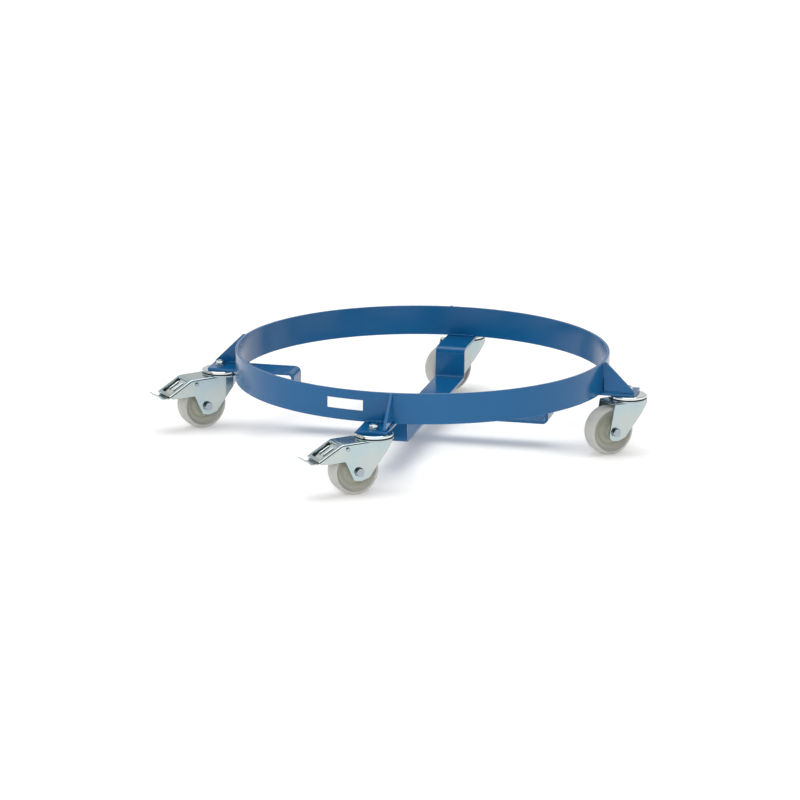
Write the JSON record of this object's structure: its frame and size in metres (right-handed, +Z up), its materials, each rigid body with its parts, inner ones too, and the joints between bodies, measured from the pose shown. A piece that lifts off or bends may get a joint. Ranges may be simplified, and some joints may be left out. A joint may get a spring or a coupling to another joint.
{
  "type": "drum dolly",
  "caption": "Round drum dolly: a steel guide ring on crossed, hat-bent strips, with gusseted outrigger flanges on swivel casters, some of them with a foot brake.",
  "frame": {"origin": "on the ring's axis, at the top face of the front-to-back strip's low run, where the strips cross", "axes": "+Z up along the ring axis; +X towards the plain caster called right, +Y towards the one called back"},
  "size_m": [0.8279, 0.8168, 0.1518],
  "materials": {
    "blue_paint": "glossy mid-blue paint",
    "zinc_plate": "bright zinc plating",
    "polyamide": "milky off-white polyamide, slightly translucent",
    "bearing_steel": "polished bearing steel",
    "spring_steel": "dark drawn spring wire",
    "white_film": "blank white adhesive film"
  },
  "bodies": {
    "frame": {"guide_ring": "blue_paint", "cross_strip_front_back": "blue_paint", "cross_strip_left_right": "blue_paint", "blank_label": "white_film", "gusset_front": "blue_paint", "raceway_cup_front": "zinc_plate", "kingpin_bolt_front": "zinc_plate", "kingpin_washer_front": "zinc_plate", "kingpin_nut_front": "zinc_plate", "gusset_right": "blue_paint", "raceway_cup_right": "zinc_plate", "kingpin_bolt_right": "zinc_plate", "kingpin_washer_right": "zinc_plate", "kingpin_nut_right": "zinc_plate", "gusset_back": "blue_paint", "raceway_cup_back": "zinc_plate", "kingpin_bolt_back": "zinc_plate", "kingpin_washer_back": "zinc_plate", "kingpin_nut_back": "zinc_plate", "gusset_left": "blue_paint", "raceway_cup_left": "zinc_plate", "kingpin_bolt_left": "zinc_plate", "kingpin_washer_left": "zinc_plate", "kingpin_nut_left": "zinc_plate"},
    "caster_front": {"fork_front": "zinc_plate", "ball_ring_front": "bearing_steel", "axle_tube_front": "zinc_plate", "axle_bolt_front": "zinc_plate", "axle_nut_front": "zinc_plate", "brake_pin_front": "zinc_plate", "brake_spring_front": "spring_steel"},
    "roller_front": {"wheel_front": "polyamide"},
    "foot_brake_front": {"brake_pedal_front": "zinc_plate"},
    "caster_right": {"fork_right": "zinc_plate", "ball_ring_right": "bearing_steel", "axle_tube_right": "zinc_plate", "axle_bolt_right": "zinc_plate", "axle_nut_right": "zinc_plate"},
    "roller_right": {"wheel_right": "polyamide"},
    "caster_back": {"fork_back": "zinc_plate", "ball_ring_back": "bearing_steel", "axle_tube_back": "zinc_plate", "axle_bolt_back": "zinc_plate", "axle_nut_back": "zinc_plate"},
    "roller_back": {"wheel_back": "polyamide"},
    "caster_left": {"fork_left": "zinc_plate", "ball_ring_left": "bearing_steel", "axle_tube_left": "zinc_plate", "axle_bolt_left": "zinc_plate", "axle_nut_left": "zinc_plate", "brake_pin_left": "zinc_plate", "brake_spring_left": "spring_steel"},
    "roller_left": {"wheel_left": "polyamide"},
    "foot_brake_left": {"brake_pedal_left": "zinc_plate"}
  },
  "joints": [
    {"name": "swivel_front", "type": "hinge", "parent": "frame", "child": "caster_front", "pos_m": [0, -0.3465, 0.045], "axis": [0, 0, 1], "continuous": true},
    {"name": "wheel_spin_front", "type": "hinge", "parent": "caster_front", "child": "roller_front", "pos_m": [-0.02816, -0.36972, -0.0115], "axis": [0.6361, -0.7716, 0], "continuous": true},
    {"name": "brake_press_front", "type": "hinge", "parent": "caster_front", "child": "foot_brake_front", "pos_m": [-0.0436, -0.38244, 0.028], "axis": [0.6361, -0.7716, 0], "range_deg": [0, 14]},
    {"name": "swivel_right", "type": "hinge", "parent": "frame", "child": "caster_right", "pos_m": [0.3465, 0, 0.045], "axis": [0, 0, 1], "continuous": true},
    {"name": "wheel_spin_right", "type": "hinge", "parent": "caster_right", "child": "roller_right", "pos_m": [0.31968, -0.02475, -0.0115], "axis": [0.6782, -0.7349, 0], "continuous": true},
    {"name": "swivel_back", "type": "hinge", "parent": "frame", "child": "caster_back", "pos_m": [0, 0.3465, 0.045], "axis": [0, 0, 1], "continuous": true},
    {"name": "wheel_spin_back", "type": "hinge", "parent": "caster_back", "child": "roller_back", "pos_m": [-0.02682, 0.32175, -0.0115], "axis": [0.6782, -0.7349, 0], "continuous": true},
    {"name": "swivel_left", "type": "hinge", "parent": "frame", "child": "caster_left", "pos_m": [-0.3465, 0, 0.045], "axis": [0, 0, 1], "continuous": true},
    {"name": "wheel_spin_left", "type": "hinge", "parent": "caster_left", "child": "roller_left", "pos_m": [-0.37332, -0.02475, -0.0115], "axis": [0.6782, -0.7349, 0], "continuous": true},
    {"name": "brake_press_left", "type": "hinge", "parent": "caster_left", "child": "foot_brake_left", "pos_m": [-0.38802, -0.03832, 0.028], "axis": [0.6782, -0.7349, 0], "range_deg": [0, 14]}
  ]
}
